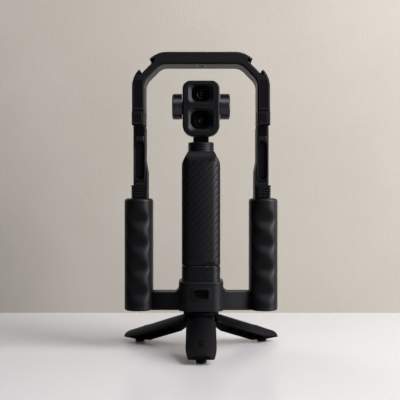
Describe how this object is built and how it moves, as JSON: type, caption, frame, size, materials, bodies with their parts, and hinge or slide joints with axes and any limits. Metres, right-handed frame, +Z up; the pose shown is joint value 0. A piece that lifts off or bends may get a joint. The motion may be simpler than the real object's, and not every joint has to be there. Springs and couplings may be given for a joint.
{
  "type": "camera cage",
  "caption": "Two-handed camera cage with raised bridge and angled cold shoes, folding tabletop tripod and a docked gimbal camera with a two-lens head.",
  "frame": {"origin": "on the table, in the middle of the footprint of the three open legs", "axes": "+Z up, the lenses look along -Y, +X to the right as seen from the front"},
  "size_m": [0.139, 0.1216, 0.2551],
  "materials": {
    "frame_metal": "matte black anodising",
    "rail_metal": "satin black anodising",
    "grip_rubber": "soft matte black rubber",
    "cap_plastic": "matte black, fine grain",
    "liner_plastic": "satin black",
    "tripod_plastic": "satin black, slightly violet",
    "foot_rubber": "matte black rubber",
    "screw_steel": "blackened and plain steel",
    "spring_steel": "plain spring steel",
    "bush_brass": "plain",
    "camera_plastic": "fine matte black",
    "panel_rubber": "matte black with fine diagonal ribs",
    "motor_metal": "satin black",
    "bezel_plastic": "gloss black",
    "barrel_plastic": "matte black inside",
    "lens_glass": "coated, green reflex",
    "display_glass": "black display glass",
    "button_plastic": "dark red",
    "battery_wrap": "grey wrap",
    "board": "green solder mask"
  },
  "bodies": {
    "tripod": {"hub": "tripod_plastic", "hub_pad": "grip_rubber", "stud": "screw_steel", "hinge_pins": "screw_steel"},
    "leg_front": {"leg_front": "tripod_plastic", "foot_front": "foot_rubber"},
    "leg_right": {"leg_right": "tripod_plastic", "foot_right": "foot_rubber"},
    "leg_left": {"leg_left": "tripod_plastic", "foot_left": "foot_rubber"},
    "cage": {"base_frame": "frame_metal", "frame_screws": "screw_steel", "arm_left": "frame_metal", "arm_right": "frame_metal", "grip_left": "grip_rubber", "grip_right": "grip_rubber", "grip_base_left": "cap_plastic", "grip_base_right": "cap_plastic", "adapter": "camera_plastic", "thread_bush": "bush_brass", "usb_port": "screw_steel", "camera_front": "camera_plastic", "camera_back": "camera_plastic", "front_panel": "panel_rubber", "battery": "battery_wrap", "main_board": "board", "pan_motor": "motor_metal"},
    "bridge": {"bridge_frame": "frame_metal", "bridge_liner": "liner_plastic", "thread_insert": "screw_steel", "cuff_left": "frame_metal", "cuff_right": "frame_metal", "rail_left": "rail_metal", "rail_right": "rail_metal", "leg_insert_left": "cap_plastic", "leg_insert_right": "cap_plastic", "shoe_plate_left": "spring_steel", "shoe_plate_right": "spring_steel", "bridge_screws": "screw_steel"},
    "lock_left": {"lock_left": "cap_plastic"},
    "lock_right": {"lock_right": "cap_plastic"},
    "screen": {"screen_frame": "bezel_plastic", "screen_glass": "display_glass"},
    "stick_ring": {"joystick_ring": "camera_plastic"},
    "stick": {"joystick": "camera_plastic"},
    "button": {"record_button": "button_plastic"},
    "pan": {"pan_arm": "camera_plastic", "roll_motor": "motor_metal"},
    "roll": {"yoke": "camera_plastic", "tilt_motor_left": "motor_metal", "tilt_motor_right": "motor_metal"},
    "head": {"head_shell": "camera_plastic", "upper_bezel": "bezel_plastic", "lower_bezel": "bezel_plastic", "upper_lens_barrel": "barrel_plastic", "upper_lens_glass": "lens_glass", "lower_lens_barrel": "barrel_plastic", "lower_lens_glass": "lens_glass"}
  },
  "joints": [
    {"name": "leg_front_fold", "type": "hinge", "parent": "tripod", "child": "leg_front", "pos_m": [0, 0.00564, 0.025], "axis": [1, 0, 0], "range_deg": [0, 71.4]},
    {"name": "leg_right_fold", "type": "hinge", "parent": "tripod", "child": "leg_right", "pos_m": [0.00779, 0.01913, 0.025], "axis": [-0.5, 0.866, 0], "range_deg": [0, 71.4]},
    {"name": "leg_left_fold", "type": "hinge", "parent": "tripod", "child": "leg_left", "pos_m": [-0.00779, 0.01913, 0.025], "axis": [-0.5, -0.866, 0], "range_deg": [0, 71.4]},
    {"name": "cage_turn", "type": "hinge", "parent": "tripod", "child": "cage", "pos_m": [0, 0.01464, 0.0338], "axis": [0, 0, 1], "range_deg": [-180, 180]},
    {"name": "bridge_lift", "type": "slide", "parent": "cage", "child": "bridge", "axis": [0, 0, 1], "range_m": [0, 0.02]},
    {"name": "lock_left_slide", "type": "slide", "parent": "cage", "child": "lock_left", "axis": [0, 0, 1], "range_m": [0, 0.003]},
    {"name": "lock_right_slide", "type": "slide", "parent": "cage", "child": "lock_right", "axis": [0, 0, 1], "range_m": [0, 0.003]},
    {"name": "screen_turn", "type": "hinge", "parent": "cage", "child": "screen", "pos_m": [0, 0.02864, 0.135], "axis": [0, 1, 0], "range_deg": [0, 90]},
    {"name": "stick_up_down", "type": "hinge", "parent": "cage", "child": "stick_ring", "pos_m": [0.0068, 0.02713, 0.096], "axis": [1, 0, 0], "range_deg": [-8, 8], "stiffness_Nm_per_rad": 0.02},
    {"name": "stick_left_right", "type": "hinge", "parent": "stick_ring", "child": "stick", "pos_m": [0.0068, 0.02713, 0.096], "axis": [0, 0, 1], "range_deg": [-8, 8], "stiffness_Nm_per_rad": 0.02},
    {"name": "record_press", "type": "slide", "parent": "cage", "child": "button", "axis": [0, -1, 0], "range_m": [0, 0.0008], "stiffness_N_per_m": 800},
    {"name": "pan", "type": "hinge", "parent": "cage", "child": "pan", "pos_m": [0, 0.01464, 0.1763], "axis": [0, 0, 1], "range_deg": [-235, 58]},
    {"name": "roll", "type": "hinge", "parent": "pan", "child": "roll", "pos_m": [0, 0.03463, 0.2098], "axis": [0, 1, 0], "range_deg": [-45, 45]},
    {"name": "tilt", "type": "hinge", "parent": "roll", "child": "head", "pos_m": [0, 0.01464, 0.2098], "axis": [1, 0, 0], "range_deg": [-45, 45]}
  ]
}
